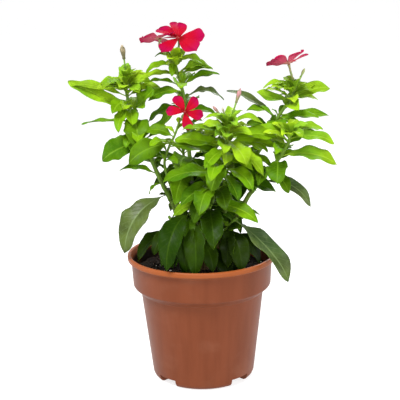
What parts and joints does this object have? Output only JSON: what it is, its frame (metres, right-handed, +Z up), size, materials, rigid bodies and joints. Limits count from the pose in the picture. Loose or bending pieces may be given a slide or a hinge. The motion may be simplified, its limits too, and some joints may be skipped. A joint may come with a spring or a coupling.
{
  "type": "potted madagascar periwinkle",
  "caption": "Bushy patio plant with glossy leaves and five-petalled red flowers, growing in a round terracotta-coloured plastic nursery pot.",
  "frame": {"origin": "centre of the object's bounds, at the level that the pot's feet stand on", "axes": "+Z up along the pot's axis, -Y towards the plant's front, +X to its right"},
  "size_m": [0.2273, 0.13, 0.3104],
  "materials": {
    "pot": "satin, moulded",
    "compost": "rough, damp",
    "main_stem": "green bark",
    "bough_left": "green bark",
    "bough_centre_left": "green bark",
    "bough_centre": "green bark",
    "bough_right": "green bark",
    "bough_upper_right": "green bark",
    "bough_slender": "green bark",
    "bough_back_left": "green bark",
    "bough_back": "green bark",
    "bough_back_right": "green bark",
    "foliage_left": "satin leaf",
    "foliage_centre_left": "satin leaf",
    "foliage_centre": "satin leaf",
    "foliage_right": "satin leaf",
    "foliage_upper_right": "satin leaf",
    "foliage_slender": "satin leaf",
    "foliage_low_front": "satin leaf",
    "foliage_low_right": "satin leaf",
    "foliage_low_left": "satin leaf",
    "foliage_back_left": "satin leaf",
    "foliage_back": "satin leaf",
    "foliage_back_right": "satin leaf",
    "foliage_low_back": "satin leaf"
  },
  "bodies": {
    "root": {"pot": "pot", "compost": "compost", "main_stem": "main_stem", "bough_left": "bough_left", "bough_centre_left": "bough_centre_left", "bough_centre": "bough_centre", "bough_right": "bough_right", "bough_upper_right": "bough_upper_right", "bough_slender": "bough_slender", "bough_back_left": "bough_back_left", "bough_back": "bough_back", "bough_back_right": "bough_back_right", "foliage_left": "foliage_left", "foliage_centre_left": "foliage_centre_left", "foliage_centre": "foliage_centre", "foliage_right": "foliage_right", "foliage_upper_right": "foliage_upper_right", "foliage_slender": "foliage_slender", "foliage_low_front": "foliage_low_front", "foliage_low_right": "foliage_low_right", "foliage_low_left": "foliage_low_left", "foliage_back_left": "foliage_back_left", "foliage_back": "foliage_back", "foliage_back_right": "foliage_back_right", "foliage_low_back": "foliage_low_back"}
  },
  "joints": []
}
